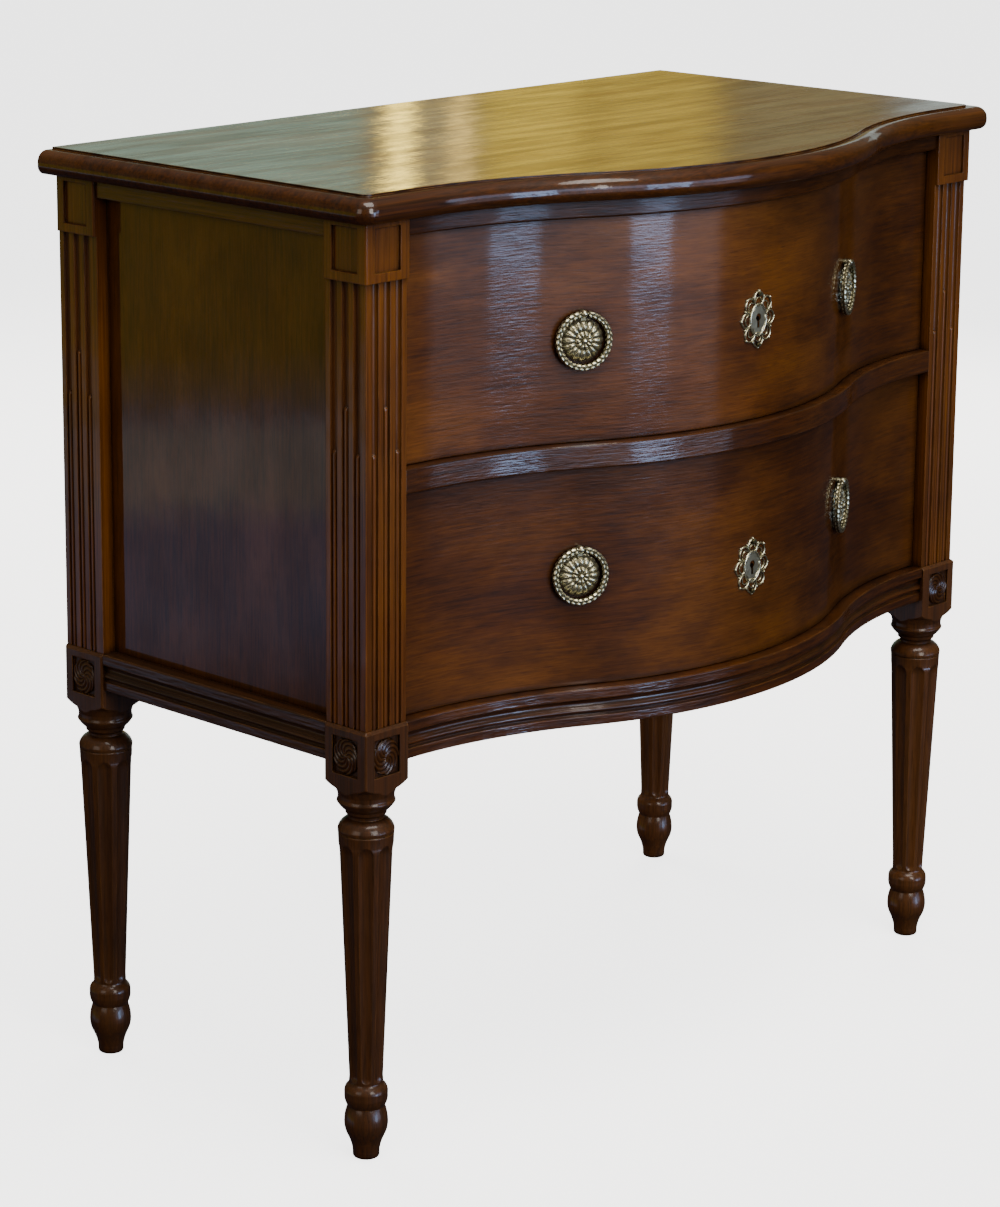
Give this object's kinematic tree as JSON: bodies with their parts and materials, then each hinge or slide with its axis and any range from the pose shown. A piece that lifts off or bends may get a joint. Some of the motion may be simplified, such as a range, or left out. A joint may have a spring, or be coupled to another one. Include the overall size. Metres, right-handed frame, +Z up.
{
  "type": "serpentine chest of drawers",
  "caption": "Serpentine-fronted chest of drawers on turned fluted legs, with fluted corner posts, moulded base rails, ring handles and pierced keyhole plates.",
  "frame": {"origin": "on the floor, at the centre of the outline seen from above", "axes": "+Z up, the serpentine front faces -Y, +X to the right as seen from the front"},
  "size_m": [0.848, 0.494, 0.84],
  "materials": {
    "polished_wood": "french polished dark red-brown mahogany with worn arrises",
    "inner_wood": "plain unpolished oak and pine",
    "old_brass": "aged pale brass, darker in the hollows",
    "iron": "dark oiled iron"
  },
  "bodies": {
    "carcass": {"top_panel": "polished_wood", "post_front_right": "polished_wood", "leg_front_right": "polished_wood", "post_front_left": "polished_wood", "leg_front_left": "polished_wood", "post_rear_right": "polished_wood", "leg_rear_right": "polished_wood", "post_rear_left": "polished_wood", "leg_rear_left": "polished_wood", "side_panel_right": "polished_wood", "side_panel_left": "polished_wood", "side_rail_top_right": "polished_wood", "side_rail_top_left": "polished_wood", "side_rail_base_right": "polished_wood", "side_rail_base_left": "polished_wood", "runner_upper_right": "inner_wood", "runner_upper_left": "inner_wood", "runner_lower_right": "inner_wood", "runner_lower_left": "inner_wood", "kicker_right": "inner_wood", "kicker_left": "inner_wood", "back_panel": "inner_wood", "back_rail_top": "inner_wood", "back_rail_base": "inner_wood", "front_rail_top": "polished_wood", "front_rail_mid": "polished_wood", "front_rail_base": "polished_wood", "dust_board": "inner_wood", "bottom_board": "inner_wood", "drawer_stops": "inner_wood", "glue_blocks": "inner_wood"},
    "drawer_upper": {"drawer_front_upper": "polished_wood", "drawer_side_right_upper": "inner_wood", "drawer_side_left_upper": "inner_wood", "drawer_back_upper": "inner_wood", "drawer_bottom_upper": "inner_wood", "handle_rosette_left_upper": "old_brass", "handle_rosette_right_upper": "old_brass", "handle_bolts_upper": "iron", "escutcheon_upper": "old_brass", "escutcheon_pins_upper": "old_brass", "lock_case_upper": "iron"},
    "ring_left_upper": {"handle_ring_left_upper": "old_brass"},
    "ring_right_upper": {"handle_ring_right_upper": "old_brass"},
    "bolt_upper": {"lock_bolt_upper": "iron"},
    "drawer_lower": {"drawer_front_lower": "polished_wood", "drawer_side_right_lower": "inner_wood", "drawer_side_left_lower": "inner_wood", "drawer_back_lower": "inner_wood", "drawer_bottom_lower": "inner_wood", "handle_rosette_left_lower": "old_brass", "handle_rosette_right_lower": "old_brass", "handle_bolts_lower": "iron", "escutcheon_lower": "old_brass", "escutcheon_pins_lower": "old_brass", "lock_case_lower": "iron"},
    "ring_left_lower": {"handle_ring_left_lower": "old_brass"},
    "ring_right_lower": {"handle_ring_right_lower": "old_brass"},
    "bolt_lower": {"lock_bolt_lower": "iron"}
  },
  "joints": [
    {"name": "drawer_slide_upper", "type": "slide", "parent": "carcass", "child": "drawer_upper", "axis": [0, -1, 0], "range_m": [0, 0.26]},
    {"name": "ring_swing_left_upper", "type": "hinge", "parent": "drawer_upper", "child": "ring_left_upper", "pos_m": [-0.18175, -0.17711, 0.71845], "axis": [-0.8932, 0.4497, 0], "range_deg": [0, 85]},
    {"name": "ring_swing_right_upper", "type": "hinge", "parent": "drawer_upper", "child": "ring_right_upper", "pos_m": [0.18175, -0.17711, 0.71845], "axis": [-0.8932, -0.4497, 0], "range_deg": [0, 85]},
    {"name": "lock_throw_upper", "type": "slide", "parent": "drawer_upper", "child": "bolt_upper", "axis": [0, 0, 1], "range_m": [0, 0.008]},
    {"name": "drawer_slide_lower", "type": "slide", "parent": "carcass", "child": "drawer_lower", "axis": [0, -1, 0], "range_m": [0, 0.26]},
    {"name": "ring_swing_left_lower", "type": "hinge", "parent": "drawer_lower", "child": "ring_left_lower", "pos_m": [-0.18175, -0.17711, 0.51272], "axis": [-0.8932, 0.4497, 0], "range_deg": [0, 85]},
    {"name": "ring_swing_right_lower", "type": "hinge", "parent": "drawer_lower", "child": "ring_right_lower", "pos_m": [0.18175, -0.17711, 0.51272], "axis": [-0.8932, -0.4497, 0], "range_deg": [0, 85]},
    {"name": "lock_throw_lower", "type": "slide", "parent": "drawer_lower", "child": "bolt_lower", "axis": [0, 0, 1], "range_m": [0, 0.008]}
  ]
}
